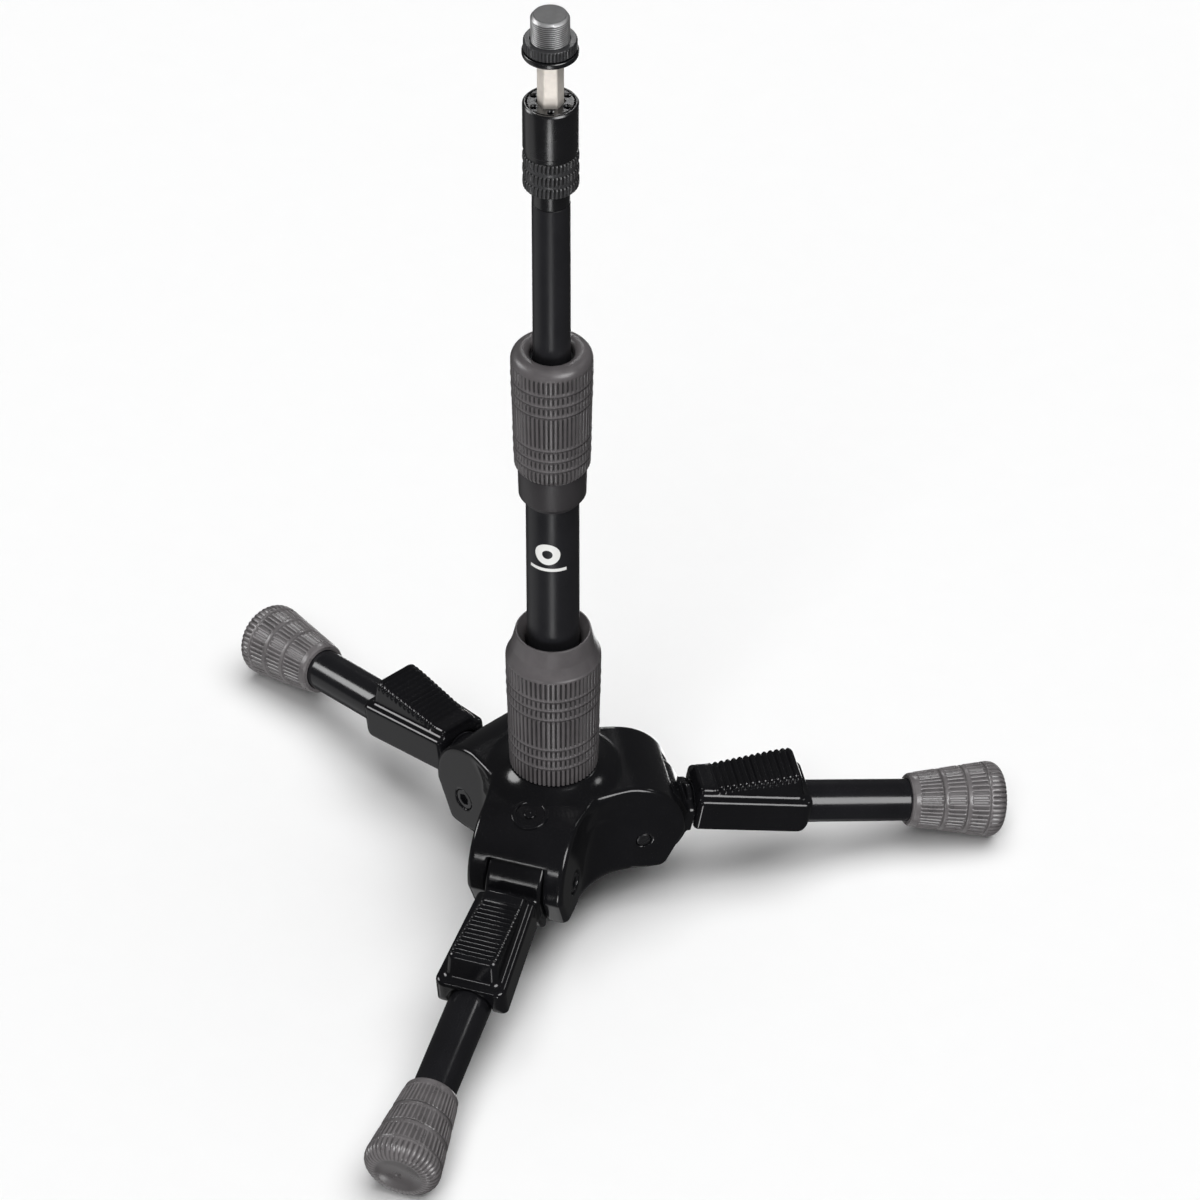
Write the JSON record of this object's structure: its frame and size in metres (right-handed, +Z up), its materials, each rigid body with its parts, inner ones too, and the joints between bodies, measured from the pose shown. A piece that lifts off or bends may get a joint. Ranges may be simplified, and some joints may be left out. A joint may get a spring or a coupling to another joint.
{
  "type": "desktop microphone stand",
  "caption": "Desktop microphone stand: folding tripod base with trigger-released legs, a telescopic column with a twist clutch, and a quick-release threaded mic adapter.",
  "frame": {"origin": "on the shaft axis, on the table that the feet stand on", "axes": "+Z up along the shaft, front leg along -Y"},
  "size_m": [0.3672, 0.321, 0.4728],
  "materials": {
    "hub_enamel": "gloss black enamel on a smooth casting",
    "tube_finish": "satin black, a soft vertical sheen",
    "grip_rubber": "dark warm grey, satin, fluted",
    "foot_rubber": "dark warm grey, ribbed",
    "trigger_plastic": "glossy black moulding",
    "ferrule_black": "satin black",
    "coupler_black": "glossy black plated steel, knurled bands",
    "nickel_hex": "satin nickel with fine draw lines",
    "stud_steel": "grey steel thread, worn crests",
    "plain_steel": "plain steel",
    "nylon_black": "black nylon"
  },
  "bodies": {
    "base": {"hub": "hub_enamel", "outer_tube": "tube_finish", "tube_plug": "plain_steel", "anchor_screw": "plain_steel", "collar_collet": "nylon_black", "clutch_ferrule": "ferrule_black", "clutch_collet": "nylon_black", "front_ratchet_plate": "plain_steel", "front_pivot_bolt": "coupler_black", "right_ratchet_plate": "plain_steel", "right_pivot_bolt": "coupler_black", "left_ratchet_plate": "plain_steel", "left_pivot_bolt": "coupler_black"},
    "base_collar": {"base_collar": "grip_rubber"},
    "clutch_grip": {"clutch_grip": "grip_rubber"},
    "slider": {"guide_bush": "nylon_black"},
    "column": {"inner_tube": "tube_finish", "inner_tube_plug": "nylon_black", "coupler_body": "coupler_black", "coupler_plate": "coupler_black", "snap_ring": "plain_steel", "coupler_spring": "plain_steel", "locking_ball_1": "plain_steel", "locking_ball_2": "plain_steel", "locking_ball_3": "plain_steel"},
    "release_collar": {"release_collar": "coupler_black"},
    "adapter": {"hex_stem": "nickel_hex", "stem_flange": "coupler_black", "threaded_stud": "stud_steel"},
    "lock_ring": {"lock_ring": "coupler_black"},
    "front_leg": {"front_leg_root": "hub_enamel", "front_leg_tube": "tube_finish", "front_foot": "foot_rubber", "front_spring_seat": "nylon_black"},
    "front_trigger": {"front_trigger": "trigger_plastic", "front_trigger_pin": "plain_steel", "front_pawl": "plain_steel", "front_pawl_spring": "plain_steel"},
    "right_leg": {"right_leg_root": "hub_enamel", "right_leg_tube": "tube_finish", "right_foot": "foot_rubber", "right_spring_seat": "nylon_black"},
    "right_trigger": {"right_trigger": "trigger_plastic", "right_trigger_pin": "plain_steel", "right_pawl": "plain_steel", "right_pawl_spring": "plain_steel"},
    "left_leg": {"left_leg_root": "hub_enamel", "left_leg_tube": "tube_finish", "left_foot": "foot_rubber", "left_spring_seat": "nylon_black"},
    "left_trigger": {"left_trigger": "trigger_plastic", "left_trigger_pin": "plain_steel", "left_pawl": "plain_steel", "left_pawl_spring": "plain_steel"}
  },
  "joints": [
    {"name": "front_leg_fold", "type": "hinge", "parent": "base", "child": "front_leg", "pos_m": [0, -0.036, 0.04128], "axis": [1, 0, 0], "range_deg": [0, 80.4]},
    {"name": "front_trigger_slide", "type": "slide", "parent": "front_leg", "child": "front_trigger", "axis": [0, -0.9861, -0.1661], "range_m": [0, 0.0055], "stiffness_N_per_m": 400, "springref_m": -0.004, "deforming": ["front_pawl_spring"]},
    {"name": "right_leg_fold", "type": "hinge", "parent": "base", "child": "right_leg", "pos_m": [0.03118, 0.018, 0.04128], "axis": [-0.5, 0.866, 0], "range_deg": [0, 80.4]},
    {"name": "right_trigger_slide", "type": "slide", "parent": "right_leg", "child": "right_trigger", "axis": [0.854, 0.4931, -0.1661], "range_m": [0, 0.0055], "stiffness_N_per_m": 400, "springref_m": -0.004, "deforming": ["right_pawl_spring"]},
    {"name": "left_leg_fold", "type": "hinge", "parent": "base", "child": "left_leg", "pos_m": [-0.03118, 0.018, 0.04128], "axis": [-0.5, -0.866, 0], "range_deg": [0, 80.4]},
    {"name": "left_trigger_slide", "type": "slide", "parent": "left_leg", "child": "left_trigger", "axis": [-0.854, 0.4931, -0.1661], "range_m": [0, 0.0055], "stiffness_N_per_m": 400, "springref_m": -0.004, "deforming": ["left_pawl_spring"]},
    {"name": "base_collar_turn", "type": "hinge", "parent": "base", "child": "base_collar", "pos_m": [0, 0, 0.11033], "axis": [0, 0, 1], "range_deg": [0, 360]},
    {"name": "clutch_turn", "type": "hinge", "parent": "base", "child": "clutch_grip", "pos_m": [0, 0, 0.27033], "axis": [0, 0, 1], "range_deg": [0, 180]},
    {"name": "height_slide", "type": "slide", "parent": "base", "child": "slider", "axis": [0, 0, 1], "range_m": [-0.074, 0.13]},
    {"name": "column_turn", "type": "hinge", "parent": "slider", "child": "column", "pos_m": [0, 0, 0.25033], "axis": [0, 0, 1], "continuous": true},
    {"name": "release_slide", "type": "slide", "parent": "column", "child": "release_collar", "axis": [0, 0, -1], "range_m": [0, 0.004], "stiffness_N_per_m": 600, "springref_m": -0.004, "deforming": ["coupler_spring"]},
    {"name": "adapter_pull", "type": "slide", "parent": "column", "child": "adapter", "axis": [0, 0, 1], "range_m": [0, 0.036]},
    {"name": "lock_ring_turn", "type": "hinge", "parent": "adapter", "child": "lock_ring", "pos_m": [0, 0, 0.45883], "axis": [0, 0, 1], "range_deg": [0, 360]}
  ]
}
